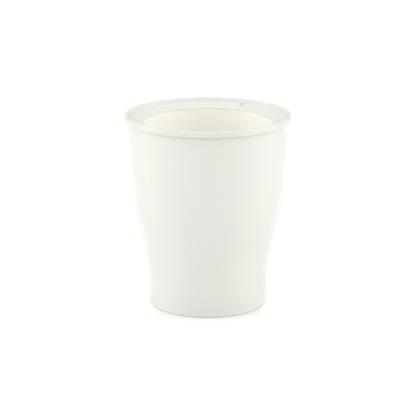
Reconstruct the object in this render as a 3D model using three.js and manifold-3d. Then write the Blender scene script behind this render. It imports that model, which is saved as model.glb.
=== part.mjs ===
// A double-walled pen cup: a flared outer shell, and a lift-out insert of a rolled rim collar
// with an inner cup clipped into it. A steel disc under the shell's floor weights the foot.
// Millimetres, +Z up, origin on the table under the middle of the cup.
import * as THREE from "three";
import { mergeVertices } from "three/addons/utils/BufferGeometryUtils.js";
import Module from "manifold-3d";

const wasm = await Module();
wasm.setup();

// ---- Driving dimensions ----
const cupHeight = 100; // table to the top of the rolled rim
const topRadius = 41.35; // outside of the shell at its top edge
const baseRadius = 30.1; // outside of the shell at its foot
const swellHeight = 39.3; // height at which the wall flares out fastest
const swellSpan = 9.8; // how gently it flares
const wallDraft = 0.028; // steady widening of the wall, per mm of height
const shellWall = 2.0;
const floorThickness = 2.0;
const edgeRadius = 0.5; // on both sides of the shell's top edge
const footRadius = 0.9; // on the outside of the shell's bottom edge

// Rolled rim and the sloping collar inside it
const rimHeight = 3.2;
const rimWidth = 2.0;
const rimOverhang = 1.5; // how far the rim stands out past the shell
const rimUnderRadius = 0.9;
const rimStep = 1.5; // top of the rim down to the collar's outer edge
const collarWidth = 7.85; // inside of the rim to the mouth
const collarFall = 2.65; // collar's outer edge down to the mouth
const collarThickness = 1.8;
const lipRadius = 0.45;
const lipHeight = 0.2; // straight part of the mouth's lip
const skirtThickness = 1.4;
const skirtChamfer = 0.5;
const skirtDepth = 9.5; // below the rim's underside
const catchReach = 1.1; // how far a catch stands in from the skirt
const catchHeight = 0.6;
const catchRamp = 1.2; // underneath a catch, for snapping the liner in
const catchCount = 4;
const catchAngle = 14; // degrees round the axis

// Inner cup
const linerWall = 1.6;
const linerFloor = 1.8;
const linerCornerRadius = 3.0;
const flangeThickness = 1.2;
const linerLift = 1.2; // free space between the liner and the shell's floor
const linerDraft = 0.01; // least taper of the liner's wall, per mm of height

// Vent slot through the collar, over a notch in the skirt, and the key opposite to it
const ventBearing = 61.75; // degrees from +X
const ventWidth = 1.3;
const ventLength = 2.6;
const ventInset = 1.45; // rim's inside to the slot's outer end
const keyWidth = 3.8;
const keyHeight = 9.0;

// Foot: ballast, base plate, foot ring and screws
const footGap = 0.5; // table to the shell's bottom edge
const plateRecess = 0.3; // shell's bottom edge up to the base plate
const plateThickness = 2.4;
const footRingThickness = 1.6;
const footRingChamfer = 0.4;
const footRingWidth = 5.4;
const plateLand = 1.5; // plate left outside the foot ring's groove
const ballastThickness = 5.0;
const ballastChamfer = 0.5;
const ballastGap = 0.9; // round the ballast disc and its holes
const bossRadius = 3.0;
const screwCount = 3;
const screwShankRadius = 1.25;
const screwTipRadius = 0.6;
const screwTipLength = 1.2;
const screwHeadRadius = 2.6;
const screwHeadHeight = 1.5;
const screwLand = 3.6; // plate between a screw's head and the foot ring's groove
const screwTipRoom = 1.5; // free depth of hole past a screw's tip
const recessWidth = 0.9; // cross recess in the screw's head
const recessSpan = 3.2;
const recessDepth = 0.9;
const boreCap = 1.2; // shell's floor left over a boss's hole

// Clearances
const seam = 0.35; // between pieces that touch
const skirtClearance = 0.4; // skirt to shell, so that the insert lifts freely
const linerClearance = 1.0; // liner to shell

// Fineness
const roundSteps = 48;
const smallSteps = 18;
const wallSteps = 14;
const hiddenSteps = 8; // up the inside of the shell
const cornerSteps = 3;
const rollSteps = 8;

const radians = THREE.MathUtils.degToRad;

// ---- Heights and radii worked out from the driving dimensions ----
const rimUnder = cupHeight - rimHeight;
const shellTop = rimUnder - seam;
const plateUnder = footGap + plateRecess;
const plateTop = plateUnder + plateThickness;
const ballastUnder = plateTop + seam;
const floorUnder = ballastUnder + ballastThickness + seam;
const floorTop = floorUnder + floorThickness;

// Outside and inside of the shell's S-curved wall at a height
const swellShare = (z) => 1 / (1 + Math.exp((swellHeight - z) / swellSpan));
const swell =
  (topRadius - baseRadius - wallDraft * shellTop) /
  (swellShare(shellTop) - swellShare(0));
const outsideAt = (z) =>
  baseRadius + wallDraft * z + swell * (swellShare(z) - swellShare(0));
const slopeAt = (z) =>
  wallDraft + (swell / swellSpan) * swellShare(z) * (1 - swellShare(z));
const insideAt = (z) => outsideAt(z) - shellWall * Math.hypot(1, slopeAt(z));

const rimOutside = topRadius + rimOverhang;
const rimInside = rimOutside - rimWidth;
const rollRadius = rimWidth / 2;
const mouthRadius = rimInside - collarWidth;
const collarTop = cupHeight - rimStep;
const mouthTop = collarTop - collarFall;
const collarSlope = collarFall / collarWidth;
const collarSlant = Math.hypot(1, collarSlope);
const lipMiddle = mouthTop - lipRadius * (collarSlant - collarSlope);
const lipUnder = lipMiddle - lipHeight;
const collarUnderAt = (r) =>
  mouthTop + collarSlope * (r - mouthRadius) - collarThickness * collarSlant;
const skirtUnder = rimUnder - skirtDepth;
const skirtOutside = insideAt(skirtUnder) - skirtClearance;
const skirtInside = skirtOutside - skirtThickness;

// The liner's top edge stands in a rabbet under the lip, and its flange under the collar.
const linerTop = lipUnder - seam;
const edgeOutside = mouthRadius + linerWall;
const rabbetRadius = edgeOutside + seam;
const flangeTop = Math.min(linerTop, collarUnderAt(rabbetRadius) - seam);
const flangeUnder = flangeTop - flangeThickness;
const flangeRadius = skirtInside - seam;
const linerUnder = floorTop + linerLift;
const catchTop = flangeUnder - seam;

// The liner is a straight cone, as steep as the narrowest place in the shell asks for.
const linerTaper = Math.max(
  linerDraft,
  ...Array.from({ length: wallSteps }, (_, i) => {
    const z = linerUnder + ((skirtUnder - linerUnder) * i) / wallSteps;
    const room = insideAt(z) - linerClearance - linerWall;
    return (mouthRadius - room) / (linerTop - z);
  }),
);
const linerInsideAt = (z) => mouthRadius - linerTaper * (linerTop - z);

const plateRadius = insideAt(footGap) - seam;
const grooveOutside = plateRadius - plateLand;
const footRingOutside = grooveOutside - seam;
const footRingInside = footRingOutside - footRingWidth;
const grooveInside = footRingInside - seam;
const screwCircle = grooveInside - screwLand - screwHeadRadius;
const screwUnder = plateUnder + seam;
const boreTop = floorTop - boreCap;
const screwLength = boreTop - screwTipRoom - screwUnder;

// Bearing of one of several evenly spaced features, none of them on the vent's own bearing
const spread = (count, i) => ventBearing + (360 / count) * (i + 0.5);

// ---- Materials ----
const shellWhite = new THREE.MeshStandardMaterial({ color: 0xf1f1ec, roughness: 0.28 });
const collarWhite = new THREE.MeshStandardMaterial({ color: 0xf2f2ee, roughness: 0.3 });
const linerIvory = new THREE.MeshStandardMaterial({ color: 0xf2eee2, roughness: 0.38 });
const plateWhite = new THREE.MeshStandardMaterial({ color: 0xe6e6e1, roughness: 0.55 });
const footGrey = new THREE.MeshStandardMaterial({ color: 0xb9b9b4, roughness: 0.85 });
const steel = new THREE.MeshStandardMaterial({ color: 0xb4b7ba, roughness: 0.4, metalness: 1 });

// ---- Outline and solid helpers ----
const point = (r, z) => new THREE.Vector2(r, z);

// Points on a round corner, from one bearing to another in degrees
function corner(r, z, radius, from, to, steps = cornerSteps) {
  return Array.from({ length: steps + 1 }, (_, i) => {
    const angle = radians(from + ((to - from) * i) / steps);
    return point(r + radius * Math.cos(angle), z + radius * Math.sin(angle));
  });
}

// Points up or down a wall whose radius depends on height
function wall(radiusAt, from, to, steps = wallSteps) {
  return Array.from({ length: steps + 1 }, (_, i) => {
    const z = from + ((to - from) * i) / steps;
    return point(radiusAt(z), z);
  });
}

// A closed mesh as a solid that can be joined and cut
function solidOf(geometry) {
  const bare = geometry.index ? geometry.toNonIndexed() : geometry.clone();
  bare.deleteAttribute("normal");
  bare.deleteAttribute("uv");
  const merged = mergeVertices(bare, 1e-4);
  return new wasm.Manifold(
    new wasm.Mesh({
      numProp: 3,
      vertProperties: merged.attributes.position.array,
      triVerts: new Uint32Array(merged.index.array),
    }),
  );
}

// An outline turned round the Z axis. It runs anticlockwise with the radius to the right,
// and is closed here when it stays clear of the axis.
function turned(outline, steps = roundSteps) {
  const closed = outline[0].x > 0 ? [...outline, outline[0]] : outline;
  const geometry = new THREE.LatheGeometry(closed, steps);
  geometry.rotateX(Math.PI / 2);
  return solidOf(geometry);
}

function cylinder(radiusUnder, radiusTop, under, top, steps = smallSteps) {
  const geometry = new THREE.CylinderGeometry(radiusTop, radiusUnder, top - under, steps);
  geometry.rotateX(Math.PI / 2);
  geometry.translate(0, 0, (under + top) / 2);
  return solidOf(geometry);
}

// A box across the +X axis, from one radius to another, turned to a bearing
function block(bearing, from, to, width, under, top) {
  const geometry = new THREE.BoxGeometry(to - from, width, top - under);
  geometry.translate((from + to) / 2, 0, (under + top) / 2);
  geometry.rotateZ(radians(bearing));
  return solidOf(geometry);
}

// Copies of a solid at every screw's place
function atScrews(solid) {
  return Array.from({ length: screwCount }, (_, i) =>
    solid.translate([screwCircle, 0, 0]).rotate([0, 0, spread(screwCount, i)]),
  );
}

function mesh(name, solid, material) {
  const { vertProperties, triVerts } = solid.getMesh();
  const geometry = new THREE.BufferGeometry();
  geometry.setAttribute("position", new THREE.BufferAttribute(vertProperties, 3));
  geometry.setIndex(new THREE.BufferAttribute(triVerts, 1));
  geometry.computeVertexNormals();
  const made = new THREE.Mesh(geometry, material);
  made.name = name;
  return made;
}

// ---- Pieces ----
function outerShell() {
  const footMiddle = outsideAt(footGap + footRadius) - footRadius;
  const topOutside = topRadius - edgeRadius;
  const topInside = insideAt(shellTop) + edgeRadius;
  let body = turned([
    point(0, floorUnder),
    point(insideAt(floorUnder), floorUnder),
    point(insideAt(footGap), footGap),
    ...corner(footMiddle, footGap + footRadius, footRadius, 270, 360),
    ...wall(outsideAt, footGap + 2 * footRadius, shellTop - 2 * edgeRadius),
    ...corner(topOutside, shellTop - edgeRadius, edgeRadius, 0, 90),
    ...corner(topInside, shellTop - edgeRadius, edgeRadius, 90, 180),
    ...wall(insideAt, shellTop - 2 * edgeRadius, floorTop, hiddenSteps),
    point(0, floorTop),
  ]);
  const boss = cylinder(bossRadius, bossRadius, ballastUnder, floorUnder + floorThickness / 2);
  const boreRadius = screwShankRadius + seam;
  const bore = cylinder(boreRadius, boreRadius, ballastUnder - seam, boreTop);
  atScrews(boss).forEach((one) => (body = body.add(one)));
  atScrews(bore).forEach((one) => (body = body.subtract(one)));
  const keyUnder = flangeUnder - keyHeight;
  const keyInside = skirtInside + seam;
  const keyRoot = insideAt(keyUnder) + shellWall / 2;
  const key = block(ventBearing + 180, keyInside, keyRoot, keyWidth, keyUnder, flangeUnder);
  return mesh("outer_shell", body.add(key), shellWhite);
}

function rimCollar() {
  const slopeBearing = 90 + THREE.MathUtils.radToDeg(Math.atan(collarSlope));
  const rollMiddle = rimOutside - rollRadius;
  let body = turned([
    point(mouthRadius, lipUnder),
    point(rabbetRadius, lipUnder),
    point(rabbetRadius, collarUnderAt(rabbetRadius)),
    point(skirtInside, collarUnderAt(skirtInside)),
    point(skirtInside, skirtUnder),
    point(skirtOutside - skirtChamfer, skirtUnder),
    point(skirtOutside, skirtUnder + skirtChamfer),
    point(skirtOutside, rimUnder),
    ...corner(rimOutside - rimUnderRadius, rimUnder + rimUnderRadius, rimUnderRadius, 270, 360),
    ...corner(rollMiddle, cupHeight - rollRadius, rollRadius, 0, 180, rollSteps),
    point(rimInside, collarTop),
    ...corner(mouthRadius + lipRadius, lipMiddle, lipRadius, slopeBearing, 180),
  ]);
  const catchUnder = catchTop - catchHeight - catchRamp;
  const catchRoot = skirtInside + skirtThickness / 2;
  const catchBand = turned([
    point(skirtInside - catchReach, catchTop - catchHeight),
    point(skirtInside, catchUnder),
    point(catchRoot, catchUnder),
    point(catchRoot, catchTop),
    point(skirtInside - catchReach, catchTop),
  ]);
  const catchWidth = 2 * skirtInside * Math.tan(radians(catchAngle / 2));
  for (let i = 0; i < catchCount; i++) {
    const bearing = spread(catchCount, i);
    const sector = block(bearing, mouthRadius, rimOutside, catchWidth, catchUnder, catchTop);
    body = body.add(catchBand.intersect(sector));
  }
  const notchWidth = keyWidth + 2 * skirtClearance;
  const notchUnder = skirtUnder - seam;
  const notchTop = collarUnderAt(skirtInside);
  const notchInside = skirtInside - seam;
  const notchOutside = skirtOutside + seam;
  for (const bearing of [ventBearing, ventBearing + 180])
    body = body.subtract(
      block(bearing, notchInside, notchOutside, notchWidth, notchUnder, notchTop),
    );
  const ventOutside = rimInside - ventInset;
  const ventInside = ventOutside - ventLength;
  const vent = block(ventBearing, ventInside, ventOutside, ventWidth, notchUnder, cupHeight);
  return mesh("rim_collar", body.subtract(vent), collarWhite);
}

function linerCup() {
  const outside = (z) => linerInsideAt(z) + linerWall;
  const inner = linerCornerRadius;
  const outer = linerCornerRadius + linerWall;
  const floorLevel = linerUnder + linerFloor;
  const body = turned([
    point(0, linerUnder),
    ...corner(outside(linerUnder + outer) - outer, linerUnder + outer, outer, 270, 360),
    point(outside(flangeUnder), flangeUnder),
    point(flangeRadius, flangeUnder),
    point(flangeRadius, flangeTop),
    point(edgeOutside, flangeTop),
    point(edgeOutside, linerTop),
    point(mouthRadius, linerTop),
    ...corner(linerInsideAt(floorLevel + inner) - inner, floorLevel + inner, inner, 0, -90),
    point(0, floorLevel),
  ]);
  return mesh("liner_cup", body, linerIvory);
}

function ballastDisc() {
  const radius = insideAt(ballastUnder) - ballastGap;
  const ballastTop = ballastUnder + ballastThickness;
  let body = turned([
    point(0, ballastUnder),
    point(radius - ballastChamfer, ballastUnder),
    point(radius, ballastUnder + ballastChamfer),
    point(radius, ballastTop - ballastChamfer),
    point(radius - ballastChamfer, ballastTop),
    point(0, ballastTop),
  ]);
  const hole = cylinder(bossRadius + ballastGap, bossRadius + ballastGap, plateTop, floorTop);
  atScrews(hole).forEach((one) => (body = body.subtract(one)));
  return mesh("ballast_disc", body, steel);
}

function basePlate() {
  const grooveTop = footRingThickness + seam;
  let body = turned([
    point(0, plateUnder),
    point(grooveInside, plateUnder),
    point(grooveInside, grooveTop),
    point(grooveOutside, grooveTop),
    point(grooveOutside, plateUnder),
    point(plateRadius, plateUnder),
    point(plateRadius, plateTop),
    point(0, plateTop),
  ]);
  const clearHole = screwShankRadius + seam;
  const sinkRadius = screwHeadRadius + seam;
  const sink = cylinder(sinkRadius, clearHole, screwUnder, screwUnder + screwHeadHeight);
  const mouth = cylinder(sinkRadius, sinkRadius, plateUnder - seam, screwUnder);
  const shaft = cylinder(clearHole, clearHole, plateUnder, plateTop + seam);
  atScrews(sink.add(mouth).add(shaft)).forEach((one) => (body = body.subtract(one)));
  return mesh("base_plate", body, plateWhite);
}

function footRing() {
  const body = turned([
    point(footRingInside + footRingChamfer, 0),
    point(footRingOutside - footRingChamfer, 0),
    point(footRingOutside, footRingChamfer),
    point(footRingOutside, footRingThickness),
    point(footRingInside, footRingThickness),
    point(footRingInside, footRingChamfer),
  ]);
  return mesh("foot_ring", body, footGrey);
}

// Stands head down at the origin of its own group
function baseScrew(name) {
  const tipUnder = screwLength - screwTipLength;
  const reach = recessSpan / 2;
  let body = cylinder(screwHeadRadius, screwShankRadius, 0, screwHeadHeight);
  body = body.add(cylinder(screwShankRadius, screwShankRadius, screwHeadHeight, tipUnder));
  body = body.add(cylinder(screwShankRadius, screwTipRadius, tipUnder, screwLength));
  for (const bearing of [0, 90])
    body = body.subtract(block(bearing, -reach, reach, recessWidth, -seam, recessDepth));
  return mesh(name, body, steel);
}

// ---- Assembly ----
const cup = new THREE.Group();
cup.add(outerShell(), ballastDisc(), basePlate(), footRing());
for (let i = 0; i < screwCount; i++) {
  const place = new THREE.Group();
  place.rotation.z = radians(spread(screwCount, i));
  const screw = baseScrew(`base_screw_${i + 1}`);
  screw.position.set(screwCircle, 0, screwUnder);
  place.add(screw);
  cup.add(place);
}
const insert = new THREE.Group();
insert.add(rimCollar(), linerCup());
cup.add(insert);

export default cup;
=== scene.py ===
import math

import bpy
import mathutils
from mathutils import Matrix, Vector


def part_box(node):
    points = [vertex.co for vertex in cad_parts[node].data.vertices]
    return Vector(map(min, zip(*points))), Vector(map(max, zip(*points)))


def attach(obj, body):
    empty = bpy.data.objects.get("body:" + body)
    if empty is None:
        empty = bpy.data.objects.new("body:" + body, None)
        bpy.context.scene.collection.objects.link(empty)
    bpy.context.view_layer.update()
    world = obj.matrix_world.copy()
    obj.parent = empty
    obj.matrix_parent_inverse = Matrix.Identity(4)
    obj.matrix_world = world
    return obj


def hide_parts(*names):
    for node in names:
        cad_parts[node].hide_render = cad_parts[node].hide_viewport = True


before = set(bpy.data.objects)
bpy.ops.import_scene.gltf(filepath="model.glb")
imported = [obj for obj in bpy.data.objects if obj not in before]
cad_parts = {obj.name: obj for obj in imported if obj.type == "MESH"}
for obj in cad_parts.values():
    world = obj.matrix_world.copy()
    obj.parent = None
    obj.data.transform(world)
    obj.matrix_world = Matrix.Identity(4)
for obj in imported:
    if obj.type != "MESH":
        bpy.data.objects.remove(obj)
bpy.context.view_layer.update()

scene = bpy.context.scene
axis = (0, 0, 1)
origin = (0, 0, 0)
mergeDistance = 1e-6
edgeAngle = 32              # degrees, above which an edge stays sharp


def reach(node):
    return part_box(node)[1][0]  # a round node's radius


def under(node):
    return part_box(node)[0][2]


def top(node):
    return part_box(node)[1][2]


def middle(node):
    low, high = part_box(node)
    return [(a + b) / 2 for a, b in zip(low, high)]


def onCircle(radius, bearing):
    turn = math.radians(bearing)
    return (radius * math.cos(turn), radius * math.sin(turn))


# sizes that several pieces share
cup = {
    "seam": 0.00035,          # between pieces that touch
    "hairline": 0.00003,      # what shows of a seam where pieces are pressed together
    "edgeRise": 0.00042,      # the liner's edge stands up behind the lip of the mouth
    "restGap": 0.00007,       # between the rim and the shell's top edge, as it shows
    "standGap": 0.00008,      # between the shell and the table, as it shows
    "shellWall": 0.0020,
    "floorThickness": 0.0020,
    "baseRadius": 0.0301,
    "swellHeight": 0.0393,    # where the wall flares out fastest
    "swellSpan": 0.0098,
    "wallDraft": 0.028,
    "ventBearing": 61.75,     # degrees from +X
    "collarWidth": 0.00785,
    "collarFall": 0.00265,
    "rimStep": 0.0015,
    "rimWidth": 0.0020,
    "collarThickness": 0.0018,
    "flangeThickness": 0.0012,
    "skirtThickness": 0.0014,
    "skirtClearance": 0.0004,
    "linerWall": 0.0016,
    "linerClearance": 0.0010,
    "keyWidth": 0.0038,       # the insert's notches drop over the key in the shell
    "ringWidth": 0.0054,
    "headRadius": 0.0026,     # of the base screws
    "headHeight": 0.0015,
    "turnSteps": 144,         # round the cup's axis
    "smallSteps": 40,         # round a screw or a boss
}

shellTop = top("outer_shell")
footGap = cup["standGap"]
rimTop = top("rim_collar")
skirtUnder = under("rim_collar")
linerUnder = under("liner_cup")
linerTop = top("liner_cup")
plateUnder = under("base_plate")
plateTop = top("base_plate")
ballastUnder = under("ballast_disc")
ballastTop = top("ballast_disc")
floorUnder = ballastTop + cup["seam"]
floorTop = floorUnder + cup["floorThickness"]
screwCircle = math.hypot(*middle("base_screw_1")[:2])
rimOutside = reach("rim_collar")
rimInside = rimOutside - cup["rimWidth"]
mouthRadius = rimInside - cup["collarWidth"]
collarTop = rimTop - cup["rimStep"]
mouthTop = collarTop - cup["collarFall"]
rimUnder = shellTop + cup["restGap"]


def swellShare(z):
    return 1 / (1 + math.exp((cup["swellHeight"] - z) / cup["swellSpan"]))


swell = (reach("outer_shell") - cup["baseRadius"] - cup["wallDraft"] * shellTop) / (
    swellShare(shellTop) - swellShare(0))


def outsideAt(z):
    return cup["baseRadius"] + cup["wallDraft"] * z + swell * (swellShare(z) - swellShare(0))


def insideAt(z):
    share = swellShare(z)
    slope = cup["wallDraft"] + swell / cup["swellSpan"] * share * (1 - share)
    return outsideAt(z) - cup["shellWall"] * math.hypot(1, slope)


skirtOutside = insideAt(skirtUnder) - cup["skirtClearance"]
skirtInside = skirtOutside - cup["skirtThickness"]

# the collar slopes down to the mouth, and the liner's top edge and flange sit under it
collarSlope = cup["collarFall"] / cup["collarWidth"]
collarSlant = math.hypot(1, collarSlope)
edgeTop = linerTop + cup["edgeRise"]
lipUnder = edgeTop + cup["hairline"]
edgeOutside = mouthRadius + cup["linerWall"]
rabbetRadius = edgeOutside + cup["seam"]


def collarUnderAt(r):
    return mouthTop + collarSlope * (r - mouthRadius) - cup["collarThickness"] * collarSlant


flangeTop = min(linerTop, collarUnderAt(rabbetRadius) - cup["seam"])
flangeUnder = flangeTop - cup["flangeThickness"]


# ways of working

def startPiece():
    if bpy.context.mode != "OBJECT":
        bpy.ops.object.mode_set(mode="OBJECT")
    bpy.ops.object.select_all(action="DESELECT")


def pickUp(piece):
    startPiece()
    piece.select_set(True)
    bpy.context.view_layer.objects.active = piece


def arc(r, z, radius, start, end, steps=8):
    turns = [math.radians(start + (end - start) * i / steps) for i in range(steps + 1)]
    return [(r + radius * math.cos(t), z + radius * math.sin(t)) for t in turns]


def climb(radiusAt, start, end, steps):
    heights = [start + (end - start) * i / steps for i in range(steps + 1)]
    return [(radiusAt(z), z) for z in heights]


# One corner of a plane is drawn out along the outline and spun round an upright axis.
# The outline closes on itself unless it starts and ends on the axis.
def turnPiece(name, outline, steps=None, centre=(0, 0), angle=360, start=0):
    startPiece()
    cx, cy = centre
    across = onCircle(1, start)
    place = lambda r, z: (cx + r * across[0], cy + r * across[1], z)
    bpy.ops.mesh.primitive_plane_add(size=cup["seam"], location=place(*outline[0]))
    piece = bpy.context.object
    piece.name = piece.data.name = name
    bpy.ops.object.transform_apply(location=True)
    bpy.ops.object.mode_set(mode="EDIT")
    bpy.ops.mesh.select_mode(type="VERT")
    bpy.ops.mesh.merge(type="CENTER")
    closed = outline[0][0] > mergeDistance
    path = outline + outline[:1] if closed else outline
    for (r0, z0), (r1, z1) in zip(path, path[1:]):
        step = ((r1 - r0) * across[0], (r1 - r0) * across[1], z1 - z0)
        bpy.ops.mesh.extrude_region_move(TRANSFORM_OT_translate={"value": step})
    bpy.ops.mesh.select_all(action="SELECT")
    bpy.ops.mesh.remove_doubles(threshold=mergeDistance)
    bpy.ops.mesh.spin(steps=steps or cup["turnSteps"], angle=math.radians(angle),
                      center=(cx, cy, 0), axis=axis)
    bpy.ops.mesh.select_all(action="SELECT")
    bpy.ops.mesh.remove_doubles(threshold=mergeDistance)
    if angle < 360:
        bpy.ops.mesh.fill_holes(sides=0)
        bpy.ops.mesh.select_all(action="SELECT")
    bpy.ops.mesh.normals_make_consistent(inside=False)
    bpy.ops.object.mode_set(mode="OBJECT")
    return piece


# a box from one radius to another on a bearing, its edges bevelled
def addBlock(name, bearing, inner, outer, width, low, high, bevel=0.0):
    startPiece()
    x, y = onCircle((inner + outer) / 2, bearing)
    bpy.ops.mesh.primitive_cube_add(
        size=1, location=(x, y, (low + high) / 2), rotation=(0, 0, math.radians(bearing)),
        scale=(outer - inner, width, high - low))
    block = bpy.context.object
    block.name = block.data.name = name
    bpy.ops.object.transform_apply(location=True, rotation=True, scale=True)
    if bevel:
        bpy.ops.object.mode_set(mode="EDIT")
        bpy.ops.mesh.select_all(action="SELECT")
        bpy.ops.mesh.bevel(offset=bevel, segments=4, profile=0.5)
        bpy.ops.object.mode_set(mode="OBJECT")
    return block


# tips a block to the collar's slope, about the middle of its underside
def tipBlock(block, bearing, r, z):
    hinge = mathutils.Vector((*onCircle(r, bearing), z))
    across = mathutils.Vector((*onCircle(1, bearing - 90), 0))
    lean = mathutils.Matrix.Rotation(math.atan(collarSlope), 4, across)
    block.data.transform(mathutils.Matrix.Translation(hinge) @ lean
                         @ mathutils.Matrix.Translation(-hinge))


# joins a tool to a piece or cuts it away, and removes the tool
def combine(piece, tool, operation):
    pickUp(piece)
    cut = piece.modifiers.new("combine", "BOOLEAN")
    cut.operation = operation
    cut.solver = "EXACT"
    cut.object = tool
    bpy.ops.object.modifier_apply(modifier=cut.name)
    bpy.data.objects.remove(tool)


# bearings of things set evenly round the cup, with the vent midway between two of them
def spread(count, i):
    return cup["ventBearing"] + 360 / count * (i + 0.5)


def finishPiece(piece, node, body, material):
    pickUp(piece)
    bpy.ops.object.mode_set(mode="EDIT")
    bpy.ops.mesh.select_all(action="SELECT")
    bpy.ops.mesh.remove_doubles(threshold=mergeDistance)
    bpy.ops.mesh.normals_make_consistent(inside=False)
    bpy.ops.object.mode_set(mode="OBJECT")
    bpy.ops.object.shade_smooth_by_angle(angle=math.radians(edgeAngle))
    piece.data.materials.clear()
    piece.data.materials.append(material)
    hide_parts(node)
    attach(piece, body)
    print(f"{piece.name}: {len(piece.data.polygons)} faces")


# materials: sizes and depths in metres
finish = {
    "refraction": 1.54,
    "noiseLow": 0.3,            # noise rarely leaves this range
    "noiseHigh": 0.7,
    "flowSize": 0.022,          # drifts of colour from the flow of the melt
    "smearSize": 0.007,         # patches of gloss
    "peelSize": 0.0026,         # ripple from the polished mould
    "dustSize": 0.0035,
    "rubberGrain": 0.00025,
    "rubberDepth": 0.000018,
    "filmSize": 0.006,
    "spangleSize": 0.0015,
    "scratchSize": 0.0004,
}


def newMaterial(name, base, roughness, metallic=0.0):
    material = bpy.data.materials.new(name)
    material.use_nodes = True
    shader = material.node_tree.nodes["Principled BSDF"]
    shader.inputs["Base Color"].default_value = (*base, 1)
    shader.inputs["Roughness"].default_value = roughness
    shader.inputs["Metallic"].default_value = metallic
    shader.inputs["IOR"].default_value = finish["refraction"]
    return material, shader


def addNode(tree, kind, **settings):
    node = tree.nodes.new(kind)
    for key, value in settings.items():
        if hasattr(node, key):
            setattr(node, key, value)
        else:
            node.inputs[key].default_value = value
    return node


def noiseOn(tree, size, detail=2.0, stretch=(1, 1, 1)):
    coordinates = addNode(tree, "ShaderNodeTexCoord")
    mapping = addNode(tree, "ShaderNodeMapping", Scale=stretch)
    noise = addNode(tree, "ShaderNodeTexNoise", Scale=1 / size, Detail=detail)
    tree.links.new(coordinates.outputs["Object"], mapping.inputs["Vector"])
    tree.links.new(mapping.outputs["Vector"], noise.inputs["Vector"])
    return noise.outputs["Fac"]


def ranged(tree, value, low, high):
    span = addNode(tree, "ShaderNodeMapRange")
    span.inputs["From Min"].default_value = finish["noiseLow"]
    span.inputs["From Max"].default_value = finish["noiseHigh"]
    span.inputs["To Min"].default_value = low
    span.inputs["To Max"].default_value = high
    tree.links.new(value, span.inputs["Value"])
    return span.outputs["Result"]


# a Mix node for colours has its factor, first and second colour at sockets 0, 6 and 7
def tinted(tree, value, low, high):
    mix = addNode(tree, "ShaderNodeMix", data_type="RGBA")
    mix.inputs[6].default_value = (*low, 1)
    mix.inputs[7].default_value = (*high, 1)
    tree.links.new(value, mix.inputs[0])
    return mix.outputs[2]


def bumped(tree, heights):
    # heights: (noise output, depth in metres), each laid over the one before
    normal = None
    for value, depth in heights:
        bump = addNode(tree, "ShaderNodeBump", Strength=1.0, Distance=depth)
        tree.links.new(value, bump.inputs["Height"])
        if normal:
            tree.links.new(normal, bump.inputs["Normal"])
        normal = bump.outputs["Normal"]
    return normal


# one maths node; each of its values is a number or another node's output
def maths(tree, operation, *values):
    node = addNode(tree, "ShaderNodeMath", operation=operation)
    for socket, value in zip(node.inputs, values):
        if isinstance(value, float):
            socket.default_value = value
        else:
            tree.links.new(value, socket)
    return node.outputs[0]


# Moulded plastic: slow drifts of colour and gloss from the flow of the melt, an orange-peel
# ripple from the polished mould, and the fine grain that breaks up its reflections.
def mouldedPlastic(name, base, deeper, roughness, vary, grainSize, grainDepth, peelDepth):
    material, shader = newMaterial(name, base, roughness)
    tree = material.node_tree
    flow = noiseOn(tree, finish["flowSize"], 3.0, (1, 1, 0.35))
    drift = tinted(tree, ranged(tree, flow, 0, 1), base, deeper)
    tree.links.new(drift, shader.inputs["Base Color"])
    smear = noiseOn(tree, finish["smearSize"], 4.0, (1, 1, 0.6))
    gloss = ranged(tree, smear, roughness - vary, roughness + vary)
    tree.links.new(gloss, shader.inputs["Roughness"])
    peel = noiseOn(tree, finish["peelSize"], 1.0)
    fine = noiseOn(tree, grainSize, 2.0)
    ripple = bumped(tree, [(peel, peelDepth), (fine, grainDepth)])
    tree.links.new(ripple, shader.inputs["Normal"])
    return material


print("materials")
shellPlastic = mouldedPlastic("satin white plastic", (0.642, 0.642, 0.604), (0.635, 0.635, 0.594),
                              0.20, 0.03, 0.00022, 0.0000008, 0.0000040)
collarPlastic = mouldedPlastic("gloss white plastic", (0.625, 0.625, 0.58), (0.615, 0.615, 0.567),
                               0.20, 0.03, 0.00022, 0.0000008, 0.0000040)
# the liner's colour is painted lighter than the shell's: painted light that makes up for the shade
# inside the cup
linerPlastic = mouldedPlastic("ivory plastic", (0.862, 0.851, 0.786), (0.852, 0.84, 0.771),
                              0.34, 0.04, 0.00022, 0.0000015, 0.0000050)
platePlastic = mouldedPlastic("textured white plastic", (0.74, 0.74, 0.705), (0.71, 0.71, 0.67),
                              0.55, 0.05, 0.00035, 0.0000140, 0.0000040)


def softRubber(name, base, worn, roughness):
    material, shader = newMaterial(name, base, roughness)
    tree = material.node_tree
    dust = noiseOn(tree, finish["dustSize"], 6.0)
    tree.links.new(tinted(tree, ranged(tree, dust, 0, 1), base, worn), shader.inputs["Base Color"])
    tree.links.new(ranged(tree, dust, roughness - 0.06, roughness + 0.08),
                   shader.inputs["Roughness"])
    fine = noiseOn(tree, finish["rubberGrain"], 3.0)
    tree.links.new(bumped(tree, [(fine, finish["rubberDepth"])]), shader.inputs["Normal"])
    return material


# Zinc-plated steel: a bluish film that varies, spangle in the gloss, and drawn scratches
def platedSteel(name, base, film, roughness, scratch, depth):
    material, shader = newMaterial(name, base, roughness, metallic=1.0)
    tree = material.node_tree
    cloud = noiseOn(tree, finish["filmSize"], 4.0)
    tree.links.new(tinted(tree, ranged(tree, cloud, 0, 1), base, film), shader.inputs["Base Color"])
    spangle = noiseOn(tree, finish["spangleSize"], 5.0)
    tree.links.new(ranged(tree, spangle, roughness - 0.08, roughness + 0.1),
                   shader.inputs["Roughness"])
    lines = noiseOn(tree, finish["scratchSize"], 4.0, scratch)
    tree.links.new(bumped(tree, [(lines, depth)]), shader.inputs["Normal"])
    return material


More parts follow.
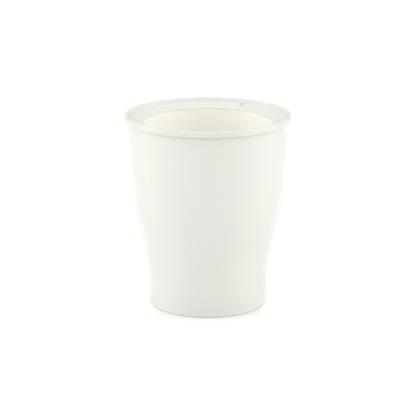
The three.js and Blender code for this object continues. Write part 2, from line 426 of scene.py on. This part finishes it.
footRubber = softRubber("grey foot rubber", (0.46, 0.46, 0.44), (0.54, 0.535, 0.51), 0.82)
ballastSteel = platedSteel("rolled zinc steel", (0.58, 0.59, 0.60), (0.50, 0.52, 0.55), 0.38,
                           (1, 0.04, 1), 0.000006)
screwSteel = platedSteel("plated screw steel", (0.66, 0.67, 0.68), (0.56, 0.59, 0.63), 0.26,
                         (1, 1, 1), 0.000004)


# the outer shell: S-curved wall, floor web, screw bosses, and the key that the insert drops over
def makeOuterShell():
    shell = {
        "topRadius": 0.00025,       # rounding of the top edge
        "footRadius": 0.00026,      # rounding of the bottom edge
        "beadHeight": 0.0024,       # the wall flares a little just above the table
        "beadReach": 0.00026,
        "footInnerRadius": 0.00025,
        "webRadius": 0.0006,        # under the floor, at its outside
        "cornerRadius": 0.00120,    # inside, where the wall meets the floor
        "outsideSteps": 54,
        "insideSteps": 44,
        "bossRadius": 0.0030,
        "bossEdge": 0.0003,
        "bossFillet": 0.0006,
        "boreRadius": 0.00160,
        "boreCap": 0.0012,
        "boreChamfer": 0.0003,
        "keyHeight": 0.0090,
        "keyBevel": 0.0005,
        "ejectorRadius": 0.0022,
        "ejectorCircle": 0.0185,
        "ejectorDepth": 0.00012,
    }
    rim = reach("outer_shell")
    soft, foot, inner = shell["topRadius"], shell["footRadius"], shell["footInnerRadius"]
    corner, web = shell["cornerRadius"], shell["webRadius"]
    footInside = insideAt(footGap)

    def beadAt(z):
        rise = max(0, 1 - z / shell["beadHeight"])
        return outsideAt(z) + shell["beadReach"] * rise * rise * (3 - 2 * rise)

    outline = [(0, floorUnder)]
    outline += arc(insideAt(floorUnder) - web, floorUnder - web, web, 90, 0, 5)
    outline += arc(footInside + inner, footGap + inner, inner, 180, 270, 4)
    outline += arc(beadAt(footGap + foot) - foot, footGap + foot, foot, 270, 360, 9)
    outline += climb(beadAt, footGap + 1.3 * foot, shell["beadHeight"], 9)
    outline += climb(outsideAt, 1.5 * shell["beadHeight"], shellTop - 2 * soft,
                     shell["outsideSteps"])
    outline += arc(rim - soft, shellTop - soft, soft, 0, 90, 8)
    outline += arc(insideAt(shellTop) + soft, shellTop - soft, soft, 90, 180, 8)
    outline += climb(insideAt, shellTop - 2 * soft, floorTop + corner, shell["insideSteps"])
    outline += arc(insideAt(floorTop + corner) - corner, floorTop + corner, corner, 0, -90, 8)[1:]
    outline += [(0, floorTop)]
    piece = turnPiece("outerShell", outline)

    bossTop = floorUnder + cup["floorThickness"] / 2
    r, fillet, edge = shell["bossRadius"], shell["bossFillet"], shell["bossEdge"]
    for i in range(3):
        centre = onCircle(screwCircle, spread(3, i))
        rounded = arc(r - edge, ballastUnder + edge, edge, 270, 360, 4)
        flare = arc(r + fillet, floorUnder - fillet, fillet, 180, 90, 5)
        boss = turnPiece("boss", [(0, ballastUnder)] + rounded + flare
                         + [(r + fillet, bossTop), (0, bossTop)], cup["smallSteps"], centre)
        combine(piece, boss, "UNION")
        bore, lead = shell["boreRadius"], shell["boreChamfer"]
        boreTop = floorTop - shell["boreCap"]
        hole = turnPiece("bore", [(0, ballastUnder - lead), (bore + 2 * lead, ballastUnder - lead),
                                  (bore, ballastUnder + lead), (bore, boreTop - lead),
                                  (bore - lead, boreTop), (0, boreTop)],
                         cup["smallSteps"], centre)
        combine(piece, hole, "DIFFERENCE")

    # round marks that the mould's ejector pins leave on the floor, between the bosses
    for i in range(3):
        centre = onCircle(shell["ejectorCircle"], spread(3, i) + 60)
        mark, deep = shell["ejectorRadius"], shell["ejectorDepth"]
        pin = turnPiece("pin", [(0, floorTop - deep), (mark, floorTop - deep),
                                (mark + deep, floorTop + deep), (0, floorTop + deep)],
                        cup["smallSteps"], centre)
        combine(piece, pin, "DIFFERENCE")

    keyTop = flangeUnder
    keyUnder = keyTop - shell["keyHeight"]
    key = addBlock("key", cup["ventBearing"] + 180, skirtInside + cup["seam"],
                   insideAt(keyUnder) + cup["shellWall"] / 2, cup["keyWidth"],
                   keyUnder, keyTop, shell["keyBevel"])
    combine(piece, key, "UNION")
    finishPiece(piece, "outer_shell", "shell", shellPlastic)


# a straight run from a point, and then a hollow that ends on the collar's slope
def sweepDown(start, heading, ending, radius):
    r0, z0 = start
    fromWall = math.radians(heading)
    collarAt = lambda r: collarTop + collarSlope * (r - rimInside)
    lift = radius * collarSlant
    dr, dz = math.sin(fromWall), -math.cos(fromWall)
    # the hollow's centre lies one radius off the run and one radius off the collar
    nr, nz = math.cos(fromWall + math.pi), math.sin(fromWall + math.pi)
    r1, z1 = r0 + nr * radius, z0 + nz * radius
    run = (z1 - collarAt(r1) - lift) / (collarSlope * dr - dz)
    cr, cz = r1 + dr * run, z1 + dz * run
    return arc(cr, cz, radius, heading, ending, 10)


# the rolled rim, the sloping collar, the skirt that centres it, and the catches for the liner
def makeRimCollar():
    collar = {
        "underRadius": 0.00105,     # outside of the rim's underside
        "lipRadius": 0.00045,       # round the mouth
        "lipEdge": 0.00003,
        "stepRadius": 0.00030,
        "rollEnd": 143,             # how far the roll comes round before it runs down to the collar
        "sweepRadius": 0.00090,     # the hollow where the rim meets the collar
        "skirtChamfer": 0.00050,
        "skirtEdge": 0.0002,
        "catchEdge": 0.0002,
        "catchReach": 0.0011,
        "catchHeight": 0.0006,
        "catchRamp": 0.0012,
        "catchCount": 4,
        "catchAngle": 14,
        "keyClearance": 0.0004,
        "notchBevel": 0.0004,
        "notchReach": 0.0012,       # past both faces of the skirt
        "notchDrop": 0.0020,        # past its lower edge
        "ventWidth": 0.00024,       # the slit, in the middle of a shallow seat
        "ventLength": 0.0016,
        "ventInset": 0.0025,
        "seatWidth": 0.0019,
        "seatLength": 0.0027,
        "seatDepth": 0.00040,
        "seatRise": 0.0040,         # how far the cutting block stands up
        "seatBevel": 0.00022,
    }
    roll = cup["rimWidth"] / 2
    lip, soft, step = collar["lipRadius"], collar["underRadius"], collar["stepRadius"]
    chamfer, edge = collar["skirtChamfer"], collar["skirtEdge"]
    lipMiddle = mouthTop - lip * (collarSlant - collarSlope)
    lean = math.degrees(math.atan(collarSlope))
    outline = [(mouthRadius + collar["lipEdge"], lipUnder), (rabbetRadius, lipUnder),
               (rabbetRadius, collarUnderAt(rabbetRadius)),
               (skirtInside - step, collarUnderAt(skirtInside - step)),
               (skirtInside, collarUnderAt(skirtInside) - step)]
    outline += [(skirtInside, skirtUnder + edge), (skirtInside + edge, skirtUnder),
                (skirtOutside - chamfer, skirtUnder), (skirtOutside, skirtUnder + chamfer)]
    outline += arc(skirtOutside + step, rimUnder - step, step, 180, 90, 5)
    outline += arc(rimOutside - soft, rimUnder + soft, soft, 270, 360, 10)
    outline += arc(rimOutside - roll, rimTop - roll, roll, 0, collar["rollEnd"], 20)
    outline += sweepDown(outline[-1], collar["rollEnd"] - 180, lean - 90, collar["sweepRadius"])
    outline += arc(mouthRadius + lip, lipMiddle, lip, 90 + lean, 180, 8)
    outline += [(mouthRadius, lipUnder + collar["lipEdge"])]
    piece = turnPiece("rimCollar", outline)

    catchTop = flangeUnder - cup["seam"]
    catchUnder = catchTop - collar["catchHeight"] - collar["catchRamp"]
    root = skirtInside + cup["skirtThickness"] / 2
    nose, edge = skirtInside - collar["catchReach"], collar["catchEdge"]
    noseUnder = catchTop - collar["catchHeight"]
    hook = [(nose + edge, noseUnder), (skirtInside, catchUnder), (root, catchUnder),
            (root, catchTop), (nose + edge, catchTop), (nose, catchTop - edge),
            (nose, noseUnder + edge)]
    span = collar["catchAngle"]
    for i in range(collar["catchCount"]):
        bearing = spread(collar["catchCount"], i)
        catch = turnPiece("catch", hook, 10, (0, 0), span, bearing - span / 2)
        combine(piece, catch, "UNION")

    notchTop = collarUnderAt(skirtInside)
    notchWidth = cup["keyWidth"] + 2 * collar["keyClearance"]
    past, drop = collar["notchReach"], collar["notchDrop"]
    for bearing in (cup["ventBearing"], cup["ventBearing"] + 180):
        notch = addBlock("notch", bearing, skirtInside - past, skirtOutside + past,
                         notchWidth, skirtUnder - drop, notchTop, collar["notchBevel"])
        combine(piece, notch, "DIFFERENCE")

    ventMiddle = rimInside - collar["ventInset"]
    long, wide, bevel = collar["seatLength"], collar["seatWidth"], collar["seatBevel"]
    seatUnder = collarTop - collarSlope * collar["ventInset"] - collar["seatDepth"]
    seat = addBlock("seat", cup["ventBearing"], ventMiddle - long / 2, ventMiddle + long / 2,
                    wide, seatUnder, seatUnder + collar["seatRise"], bevel)
    tipBlock(seat, cup["ventBearing"], ventMiddle, seatUnder)
    combine(piece, seat, "DIFFERENCE")
    long = collar["ventLength"]
    slit = addBlock("slit", cup["ventBearing"], ventMiddle - long / 2, ventMiddle + long / 2,
                    collar["ventWidth"], skirtUnder, rimTop, collar["ventWidth"] / 3)
    combine(piece, slit, "DIFFERENCE")
    finishPiece(piece, "rim_collar", "insert", collarPlastic)


# Colours the outside of the liner darker than the inside: lit and shaded copies of one plastic, the
# inside painted lighter as painted light for the shade inside the cup, the outside darker where the
# light falls full. The outside lies beyond the middle of the tapering wall and under the flange, or
# under the middle of the floor.
def deepened(material, colour, taper, wall, floor):
    tree = material.node_tree
    shader = tree.nodes["Principled BSDF"]
    inside = shader.inputs["Base Color"].links[0].from_socket

    place = addNode(tree, "ShaderNodeTexCoord")
    parts = addNode(tree, "ShaderNodeSeparateXYZ")
    tree.links.new(place.outputs["Object"], parts.inputs[0])
    x, y, z = (parts.outputs[letter] for letter in "XYZ")
    squares = maths(tree, "ADD", maths(tree, "MULTIPLY", x, x), maths(tree, "MULTIPLY", y, y))
    radius = maths(tree, "SQRT", squares)
    atTable = mouthRadius - taper * linerTop + wall / 2
    middleOfWall = maths(tree, "MULTIPLY_ADD", z, taper, atTable)
    beyond = maths(tree, "MULTIPLY", maths(tree, "GREATER_THAN", radius, middleOfWall),
                   maths(tree, "LESS_THAN", z, flangeUnder))
    below = maths(tree, "LESS_THAN", z, linerUnder + floor / 2)
    blend = addNode(tree, "ShaderNodeMix", data_type="RGBA")
    tree.links.new(maths(tree, "MAXIMUM", beyond, below), blend.inputs[0])
    tree.links.new(inside, blend.inputs[6])
    blend.inputs[7].default_value = (*colour, 1)
    tree.links.new(blend.outputs[2], shader.inputs["Base Color"])
    return material


# the liner: a straight cone as steep as the shell's narrowest place asks for
def makeLinerCup():
    liner = {
        "floor": 0.0018,
        "cornerRadius": 0.0030,     # inside, where the wall meets the floor
        "edgeRadius": 0.00025,
        "mouthEdge": 0.00004,
        "gateRadius": 0.0016,       # dimple and nub where the plastic entered the mould
        "gateDepth": 0.00030,
        "nubRadius": 0.0007,
        "stepRadius": 0.0170,       # shallow step on the underside
        "stepDepth": 0.00025,
        "flangeFillet": 0.0005,
        "lead": 0.001,              # kept clear of a corner before a straight run starts
        "outsideSteps": 24,
        "insideSteps": 26,
        # the liner's outside, near the shell's colour and darker than the inside, which is painted
        # lighter
        "outsideColour": (0.66, 0.65, 0.605),    # the outside, a shade deeper
    }
    wall, inner = cup["linerWall"], liner["cornerRadius"]
    outer = inner + wall
    floor = linerUnder + liner["floor"]
    heights = [linerUnder + (skirtUnder - linerUnder) * i / 14 for i in range(14)]
    taper = max((mouthRadius - insideAt(z) + cup["linerClearance"] + wall) / (linerTop - z)
                for z in heights)
    insideLiner = lambda z: mouthRadius - taper * (linerTop - z)
    outsideLiner = lambda z: insideLiner(z) + wall
    flange = reach("liner_cup")
    edge, deep, gate = liner["edgeRadius"], liner["gateDepth"], liner["gateRadius"]
    fillet, lead, nub = liner["flangeFillet"], liner["lead"], liner["nubRadius"]
    sink = linerUnder + liner["stepDepth"]
    outline = [(0, sink), (liner["stepRadius"], sink),
               (liner["stepRadius"] + liner["stepDepth"], linerUnder)]
    turnAt = linerUnder + outer
    outline += arc(outsideLiner(turnAt) - outer, turnAt, outer, 270, 360, 12)
    outline += climb(outsideLiner, turnAt + lead, flangeUnder - 1.2 * fillet,
                     liner["outsideSteps"])
    outline += arc(outsideLiner(flangeUnder) + fillet, flangeUnder - fillet, fillet, 180, 90, 4)
    outline += arc(flange - edge, flangeUnder + edge, edge, 270, 360, 4)
    outline += arc(flange - edge, flangeTop - edge, edge, 0, 90, 4)
    outline += [(edgeOutside, flangeTop)]
    outline += arc(edgeOutside - edge, edgeTop - edge, edge, 0, 90, 4)
    fine = liner["mouthEdge"]
    outline += arc(mouthRadius + fine, edgeTop - fine, fine, 90, 180, 3)
    turnAt = floor + inner
    outline += climb(insideLiner, linerTop - lead, turnAt + lead / 2, liner["insideSteps"])
    outline += arc(insideLiner(turnAt) - inner, turnAt, inner, 0, -90, 12)
    outline += [(gate + deep, floor), (gate, floor - deep), (nub, floor - deep),
                (nub * 0.8, floor - deep / 2), (0, floor - deep / 2)]
    piece = turnPiece("linerCup", outline)
    lighterInsideLiner = deepened(linerPlastic, liner["outsideColour"], taper, wall, liner["floor"])
    finishPiece(piece, "liner_cup", "insert", lighterInsideLiner)


# the stamped steel disc that weights the foot, with clearance holes for the bosses
def makeBallast():
    ballast = {
        "chamfer": 0.0005,
        "holeRadius": 0.0039,
        "holeChamfer": 0.0003,
        "burr": 0.00012,        # the edge rolled over by the stamping press
    }
    r, low, high, cut = reach("ballast_disc"), ballastUnder, ballastTop, ballast["chamfer"]
    outline = [(0, low), (r - cut, low), (r, low + cut), (r - ballast["burr"], (low + high) / 2)]
    outline += [(r - ballast["burr"], high - cut), (r - cut, high), (0, high)]
    piece = turnPiece("ballastDisc", outline)
    hole, lead = ballast["holeRadius"], ballast["holeChamfer"]
    for i in range(3):
        centre = onCircle(screwCircle, spread(3, i))
        punch = turnPiece("punch", [(0, low - lead), (hole + 2 * lead, low - lead),
                                    (hole, low + lead), (hole, high - lead),
                                    (hole + 2 * lead, high + lead), (0, high + lead)],
                          cup["smallSteps"], centre)
        combine(piece, punch, "DIFFERENCE")
    finishPiece(piece, "ballast_disc", "shell", ballastSteel)


# the plate that closes the foot: a groove for the foot ring, sunk screw holes, moulding marks
def makeBasePlate():
    plate = {
        "land": 0.0015,             # left outside the foot ring's groove
        "edge": 0.00025,
        "shankRadius": 0.00125,
        "gateRadius": 0.0026,
        "gateDepth": 0.00035,
        "nubRadius": 0.0008,
        "ejectorRadius": 0.0018,
        "ejectorCircle": 0.0085,
        "ejectorDepth": 0.00012,
    }
    seam, edge = cup["seam"], plate["edge"]
    r = reach("base_plate")
    grooveOutside = r - plate["land"]
    grooveInside = grooveOutside - cup["ringWidth"] - 2 * seam
    grooveTop = top("foot_ring") + seam
    deep, gate, nub = plate["gateDepth"], plate["gateRadius"], plate["nubRadius"]
    low, high = plateUnder, plateTop
    outline = [(0, low + deep / 2), (nub * 0.8, low + deep / 2), (nub, low + deep),
               (gate, low + deep), (gate + deep, low)]
    outline += arc(grooveInside - edge, low + edge, edge, 270, 360, 4)
    outline += [(grooveInside, grooveTop), (grooveOutside, grooveTop)]
    outline += arc(grooveOutside + edge, low + edge, edge, 180, 270, 4)
    outline += arc(r - edge, low + edge, edge, 270, 360, 4)
    outline += [(r, high - edge), (r - edge, high), (0, high)]
    piece = turnPiece("basePlate", outline)

    headUnder = under("base_screw_1")
    sink, shank = cup["headRadius"] + seam, plate["shankRadius"] + seam
    for i in range(3):
        centre = onCircle(screwCircle, spread(3, i))
        bit = turnPiece("bit", [(0, low - edge), (sink + 2 * edge, low - edge), (sink, low + edge),
                                (sink, headUnder), (shank, headUnder + cup["headHeight"]),
                                (shank, high + edge), (0, high + edge)],
                        cup["smallSteps"], centre)
        combine(piece, bit, "DIFFERENCE")
        centre = onCircle(plate["ejectorCircle"], spread(3, i) + 60)
        mark, dent = plate["ejectorRadius"], plate["ejectorDepth"]
        pin = turnPiece("pin", [(0, low - dent), (mark + dent, low - dent), (mark, low + dent),
                                (0, low + dent)], cup["smallSteps"], centre)
        combine(piece, pin, "DIFFERENCE")
    finishPiece(piece, "base_plate", "shell", platePlastic)


# the rubber ring that the cup stands on, with grip grooves turned into its underside
def makeFootRing():
    ring = {
        "softEdge": 0.0004,
        "backEdge": 0.0002,         # the edges that sit in the plate's groove
        "grooves": 4,
        "grooveWidth": 0.00036,
        "grooveDepth": 0.00022,
    }
    r, high, soft = reach("foot_ring"), top("foot_ring"), ring["softEdge"]
    inner, back = r - cup["ringWidth"], ring["backEdge"]
    half, deep = ring["grooveWidth"] / 2, ring["grooveDepth"]
    outline = arc(inner + soft, soft, soft, 180, 270, 5)
    gap = (cup["ringWidth"] - 2 * soft) / (ring["grooves"] + 1)
    for i in range(ring["grooves"]):
        centre = inner + soft + gap * (i + 1)
        outline += [(centre - half, 0), (centre - half * 0.5, deep),
                    (centre + half * 0.5, deep), (centre + half, 0)]
    outline += arc(r - soft, soft, soft, 270, 360, 5)
    outline += [(r, high - back), (r - back, high), (inner + back, high), (inner, high - back)]
    piece = turnPiece("footRing", outline)
    finishPiece(piece, "foot_ring", "shell", footRubber)


# one countersunk screw, head down at the origin, with a tapered cross recess and a coarse thread
def modelScrew(length):
    screw = {
        "headChamfer": 0.00015,
        "chamferRise": 0.00012,
        "headEdge": 0.00025,        # the upright band round the head
        "neck": 0.0003,             # fillet from the head into the shank
        "shankRadius": 0.00118,
        "tipRadius": 0.0003,
        "tipLength": 0.0014,
        "tipRound": 0.0001,
        "recessSpan": 0.0032,
        "recessWidth": 0.0009,
        "recessDepth": 0.0011,
        "recessTaper": 0.45,        # its span at the bottom, as a share
        "recessStart": 0.0004,      # how far the cutting blade starts outside the head
        "threadStart": 0.0021,
        "threadRadius": 0.00148,
        "threadRoot": 0.0002,       # how deep the ridge is set into the shank
        "threadProfile": (0, 0.00022, 0.00030, 0.00052),
        "threadSteps": 28,
        "pitch": 0.00085,
    }
    head, shank, tip = cup["headRadius"], screw["shankRadius"], screw["tipLength"]
    neck, rounding = screw["neck"], screw["tipRound"]
    outline = [(0, 0), (head - screw["headChamfer"], 0), (head, screw["chamferRise"]),
               (head, screw["headEdge"]), (shank + neck, cup["headHeight"] - rounding),
               (shank, cup["headHeight"] + neck), (shank, length - tip),
               (screw["tipRadius"], length - rounding), (0, length)]
    piece = turnPiece("baseScrew", outline, cup["smallSteps"])

    startPiece()
    deep, crest = shank - screw["threadRoot"], screw["threadRadius"]
    bpy.ops.mesh.primitive_circle_add(vertices=4, radius=crest, fill_type="NOTHING",
                                      location=origin)
    ridge = bpy.context.object
    corners = zip(ridge.data.vertices, (deep, crest, crest, deep), screw["threadProfile"])
    for corner, r, z in corners:
        corner.co = (r, 0, z + screw["threadStart"])
    helix = ridge.modifiers.new("helix", "SCREW")
    turns = int((length - tip - screw["threadStart"]) / screw["pitch"])
    helix.screw_offset, helix.iterations = screw["pitch"], turns
    helix.steps = helix.render_steps = screw["threadSteps"]
    helix.use_merge_vertices = False
    bpy.ops.object.modifier_apply(modifier=helix.name)
    bpy.ops.object.mode_set(mode="EDIT")
    bpy.ops.mesh.select_all(action="SELECT")
    bpy.ops.mesh.remove_doubles(threshold=mergeDistance / 10)
    bpy.ops.mesh.fill_holes(sides=8)
    bpy.ops.mesh.select_all(action="SELECT")
    bpy.ops.mesh.normals_make_consistent(inside=False)
    bpy.ops.object.mode_set(mode="OBJECT")
    combine(piece, ridge, "UNION")

    half, taper = screw["recessSpan"] / 2, screw["recessTaper"]
    for bearing in (0, 90):
        blade = addBlock("blade", bearing, -half, half, screw["recessWidth"],
                         -screw["recessStart"], screw["recessDepth"])
        pickUp(blade)
        bpy.ops.object.mode_set(mode="EDIT")
        bpy.ops.mesh.select_all(action="DESELECT")
        bpy.ops.object.mode_set(mode="OBJECT")
        for face in blade.data.polygons:
            face.select = face.normal.z > 0.9
        bpy.ops.object.mode_set(mode="EDIT")
        bpy.ops.mesh.select_mode(type="FACE")
        bpy.ops.transform.resize(value=(taper, taper, 1), center_override=origin)
        bpy.ops.object.mode_set(mode="OBJECT")
        combine(piece, blade, "DIFFERENCE")
    return piece


def makeScrews():
    low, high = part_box("base_screw_1")
    pattern = modelScrew(high[2] - low[2])
    for i in range(3):
        x, y, _ = middle(f"base_screw_{i + 1}")
        pickUp(pattern)
        bpy.ops.object.duplicate(linked=False)
        copy = bpy.context.object
        copy.name = copy.data.name = f"baseScrew{i + 1}"
        copy.location = (x, y, low[2])
        copy.rotation_euler.z = math.radians(23 + 71 * i)  # screws stop where they are tight
        bpy.ops.object.transform_apply(location=True, rotation=True)
        finishPiece(copy, f"base_screw_{i + 1}", "shell", screwSteel)
    bpy.data.objects.remove(pattern)


print("outer shell")
makeOuterShell()
print("insert")
makeRimCollar()
makeLinerCup()
print("foot")
makeBallast()
makeBasePlate()
makeFootRing()
makeScrews()


# a painted shadow: the table's colour darkens close in front of the foot
def paintTableShadow(surface, shader, studio):
    tree = surface.node_tree
    place = addNode(tree, "ShaderNodeTexCoord")
    parts = addNode(tree, "ShaderNodeSeparateXYZ")
    tree.links.new(place.outputs["Object"], parts.inputs[0])
    away = addNode(tree, "ShaderNodeVectorMath", operation="LENGTH")
    tree.links.new(place.outputs["Object"], away.inputs[0])
    fade = maths(tree, "DIVIDE", maths(tree, "SUBTRACT", outsideAt(0), away.outputs["Value"]),
                 studio["shadeFade"])
    depth = maths(tree, "EXPONENT", maths(tree, "MINIMUM", fade, 0.0))
    width = addNode(tree, "ShaderNodeMapRange", interpolation_type="SMOOTHSTEP")
    width.inputs["From Min"].default_value = studio["shadeHalf"] + studio["shadeSoft"]
    width.inputs["From Max"].default_value = studio["shadeHalf"] - studio["shadeSoft"]
    tree.links.new(maths(tree, "ABSOLUTE", parts.outputs["X"]), width.inputs["Value"])
    front = addNode(tree, "ShaderNodeMapRange", interpolation_type="SMOOTHSTEP")
    front.inputs["From Min"].default_value = -studio["shadeStart"]
    front.inputs["From Max"].default_value = -studio["shadeFull"]
    tree.links.new(parts.outputs["Y"], front.inputs["Value"])
    patch = maths(tree, "MULTIPLY", width.outputs["Result"], front.outputs["Result"])
    amount = maths(tree, "MULTIPLY", depth, patch)
    # mixes the table's colour towards a darker copy of it: the painted shadow
    blend = addNode(tree, "ShaderNodeMix", data_type="RGBA")
    tree.links.new(amount, blend.inputs[0])
    bright, dim = studio["floorColour"], 1 - studio["shade"]
    blend.inputs[6].default_value = (*bright, 1)
    blend.inputs[7].default_value = (*(c * dim for c in bright), 1)
    tree.links.new(blend.outputs[2], shader.inputs["Base Color"])


# a white table top, lightly polished, with a painted shadow in front of the foot, under a studio
# sky that is brighter overhead
def makeStage():
    studio = {
        "floorSize": 6.0,
        "floorColour": (0.94, 0.94, 0.94),
        "floorRoughness": 0.16,
        # the painted shadow on the table: how dark it is, where it sets in and is full, how it
        # fades, how wide it is
        "shade": 0.165,             # how much the table darkens close in front of the foot
        "shadeStart": 0.003,        # it sets in here, in front of the cup's axis
        "shadeFull": 0.014,
        "shadeFade": 0.019,         # the distance over which it dies away
        "shadeHalf": 0.0270,        # half its width
        "shadeSoft": 0.0038,
        "sky": 0.66,                # at the horizon
        "overhead": 0.54,           # added straight above
        "sideCard": (1.9, 2.0),
        "sidePlace": (2.0, -0.2, 0.75),
        "leftPower": 25.5,
        "rightPower": 24.5,
        "frontCard": (3.0, 2.0),
        "frontPlace": (0, -3.5, 2.25),
        "frontPower": 23.0,
    }
    startPiece()
    bpy.ops.mesh.primitive_plane_add(size=studio["floorSize"], location=origin)
    floor = bpy.context.object
    floor.name = "tableTop"
    surface, shader = newMaterial("white table top", studio["floorColour"],
                                  studio["floorRoughness"])
    paintTableShadow(surface, shader, studio)
    floor.data.materials.append(surface)

    world = bpy.data.worlds.new("studio")
    scene.world = world
    world.use_nodes = True
    tree = world.node_tree
    towards = addNode(tree, "ShaderNodeTexCoord")
    parts = addNode(tree, "ShaderNodeSeparateXYZ")
    tree.links.new(towards.outputs["Generated"], parts.inputs[0])
    glow = addNode(tree, "ShaderNodeMapRange")
    glow.inputs["To Min"].default_value = studio["sky"]
    glow.inputs["To Max"].default_value = studio["sky"] + studio["overhead"]
    tree.links.new(parts.outputs["Z"], glow.inputs["Value"])
    tree.nodes["Background"].inputs["Color"].default_value = (1, 1, 1, 1)
    tree.links.new(glow.outputs["Result"], tree.nodes["Background"].inputs["Strength"])

    def softbox(name, size, place, power):
        light = bpy.data.lights.new(name, "AREA")
        light.shape = "RECTANGLE"
        light.size, light.size_y = size
        light.energy = power
        lamp = bpy.data.objects.new(name, light)
        scene.collection.objects.link(lamp)
        lamp.location = place
        aim = mathutils.Vector((0, 0, rimTop / 2)) - lamp.location
        lamp.rotation_euler = aim.to_track_quat("-Z", "Y").to_euler()

    x, y, z = studio["sidePlace"]
    softbox("leftSoftbox", studio["sideCard"], (-x, y, z), studio["leftPower"])
    softbox("rightSoftbox", studio["sideCard"], (x, y, z), studio["rightPower"])
    softbox("frontSoftbox", studio["frontCard"], studio["frontPlace"], studio["frontPower"])


def makeCamera():
    lens = {
        "distance": 0.90,
        "elevation": 15.33,
        "focal": 149.75,         # in millimetres
        "sensor": 36,
        "near": 0.01,
        "far": 20,
        "aim": (0.00005, 0, 0.0499),
    }
    rise = math.radians(lens["elevation"])
    ax, ay, az = lens["aim"]
    data = bpy.data.cameras.new("camera")
    camera = bpy.data.objects.new("camera", data)
    scene.collection.objects.link(camera)
    data.lens, data.sensor_width = lens["focal"], lens["sensor"]
    data.clip_start, data.clip_end = lens["near"], lens["far"]
    camera.location = (ax, ay - lens["distance"] * math.cos(rise),
                       az + lens["distance"] * math.sin(rise))
    camera.rotation_euler = (math.radians(90) - rise, 0, 0)
    scene.camera = camera


print("studio")
makeStage()
makeCamera()
scene.view_settings.view_transform = "Standard"
